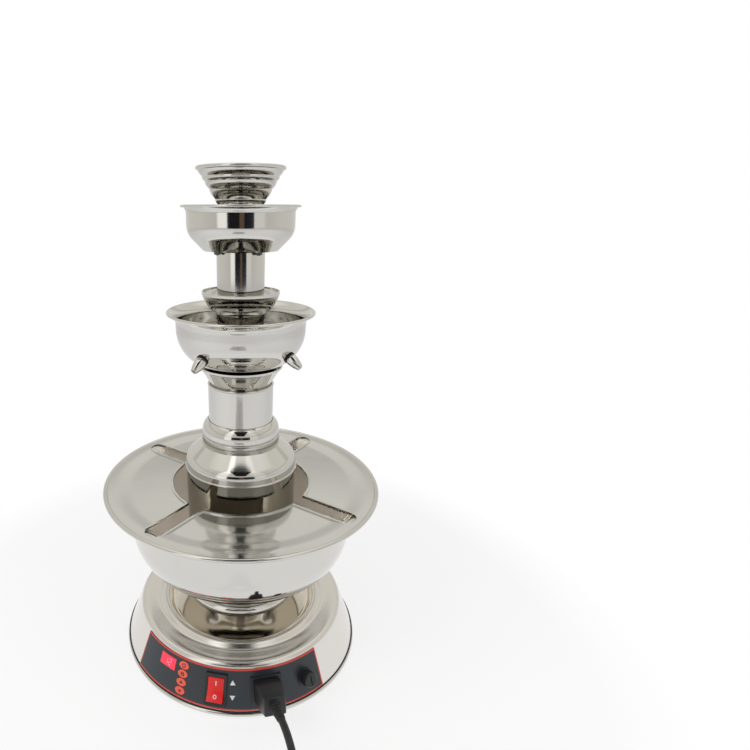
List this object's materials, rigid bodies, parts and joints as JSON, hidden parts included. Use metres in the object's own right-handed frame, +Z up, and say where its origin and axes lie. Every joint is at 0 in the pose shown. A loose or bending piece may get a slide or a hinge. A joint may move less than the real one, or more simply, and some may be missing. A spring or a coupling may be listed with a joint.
{
  "type": "beverage fountain",
  "caption": "Pumped table fountain of turned steel: a switched base, a basin under a slotted tray, and a tower of lift-off bowls with spout nozzles and a ribbed top cone.",
  "frame": {"origin": "on the table, under the middle of the base", "axes": "+Z up the tower, -Y out of the middle of the control panel, +X to the right of someone facing it"},
  "size_m": [0.2796, 0.4439, 0.4841],
  "materials": {
    "steel": "polished",
    "satin_steel": "satin",
    "zinc": "plated",
    "dark_steel": "blackened",
    "rubber": "matt",
    "film": "satin",
    "border": "satin",
    "display": "glossy",
    "key": "satin",
    "rocker_red": "glossy",
    "black_plastic": "satin",
    "white_plastic": "satin",
    "ceramic": "glossy",
    "board": "satin",
    "case": "satin",
    "brass": "satin",
    "magnet": "matt",
    "cord": "matt"
  },
  "bodies": {
    "base": {"rubber_feet": "rubber", "bottom_plate": "satin_steel", "base_screws": "zinc", "base_flange": "steel", "base_seal": "rubber", "base_skirt": "steel", "base_saucer": "steel", "control_panel": "film", "panel_border": "border", "display_window": "display", "display_module": "black_plastic", "key_board": "board", "rocker_housing": "black_plastic", "inlet_housing": "black_plastic", "inlet_pins": "brass", "fuse_holder": "black_plastic", "fuse_link": "ceramic", "control_board": "board", "board_standoffs": "brass", "power_supply": "case", "bowl_foot": "steel", "stem_tube": "brass", "stem_nuts": "brass", "lower_bowl": "steel", "drum": "steel", "pump_body": "black_plastic", "pump_cover": "black_plastic", "pump_bushes": "brass", "riser_tube": "white_plastic", "cord_connector": "cord", "cord_relief": "cord", "cord_lead": "cord", "cord_coil": "cord", "cord_tie": "black_plastic", "cord_plug": "cord"},
    "tray": {"drip_tray": "satin_steel"},
    "lid": {"drum_lid": "steel"},
    "column": {"column": "steel", "column_collar": "steel", "column_cup": "steel"},
    "middle": {"middle_bowl": "steel", "nozzles": "steel", "nozzle_washers": "rubber", "nozzle_nuts": "zinc", "lower_tube": "steel", "small_dish": "steel"},
    "upper": {"upper_tube": "steel", "top_bowl": "steel", "bowl_bolts": "dark_steel", "cone_pedestal": "steel"},
    "cone": {"top_cone": "steel"},
    "rotor": {"pump_shaft": "zinc", "magnet_rotor": "magnet", "impeller": "white_plastic"},
    "rocker": {"rocker": "rocker_red"},
    "fuse_cap": {"fuse_cap": "black_plastic"},
    "key_1": {"key_1": "key"},
    "key_2": {"key_2": "key"},
    "key_3": {"key_3": "key"},
    "key_4": {"key_4": "key"}
  },
  "joints": [
    {"name": "tray_lift", "type": "slide", "parent": "base", "child": "tray", "axis": [0, 0, 1], "range_m": [0, 0.3]},
    {"name": "lid_lift", "type": "slide", "parent": "base", "child": "lid", "axis": [0, 0, 1], "range_m": [0, 0.05]},
    {"name": "column_lift", "type": "slide", "parent": "lid", "child": "column", "axis": [0, 0, 1], "range_m": [0, 0.05]},
    {"name": "middle_lift", "type": "slide", "parent": "column", "child": "middle", "axis": [0, 0, 1], "range_m": [0, 0.05]},
    {"name": "upper_lift", "type": "slide", "parent": "middle", "child": "upper", "axis": [0, 0, 1], "range_m": [0, 0.05]},
    {"name": "cone_lift", "type": "slide", "parent": "upper", "child": "cone", "axis": [0, 0, 1], "range_m": [0, 0.04]},
    {"name": "pump_spin", "type": "hinge", "parent": "base", "child": "rotor", "pos_m": [0, 0, 0.15], "axis": [0, 0, 1], "continuous": true},
    {"name": "rocker_tilt", "type": "hinge", "parent": "base", "child": "rocker", "pos_m": [-0.00732, -0.11962, 0.0273], "axis": [0.9981, -0.0611, 0], "range_deg": [0, 20]},
    {"name": "fuse_turn", "type": "hinge", "parent": "base", "child": "fuse_cap", "pos_m": [0.07613, -0.09298, 0.0265], "axis": [0.5874, -0.7174, 0.3746], "range_deg": [0, 60]},
    {"name": "key_1_press", "type": "slide", "parent": "base", "child": "key_1", "axis": [0.3246, 0.8685, -0.3746], "range_m": [0, 0.0005], "stiffness_N_per_m": 400},
    {"name": "key_2_press", "type": "slide", "parent": "base", "child": "key_2", "axis": [0.3246, 0.8685, -0.3746], "range_m": [0, 0.0005], "stiffness_N_per_m": 400},
    {"name": "key_3_press", "type": "slide", "parent": "base", "child": "key_3", "axis": [0.3246, 0.8685, -0.3746], "range_m": [0, 0.0005], "stiffness_N_per_m": 400},
    {"name": "key_4_press", "type": "slide", "parent": "base", "child": "key_4", "axis": [0.3246, 0.8685, -0.3746], "range_m": [0, 0.0005], "stiffness_N_per_m": 400}
  ]
}
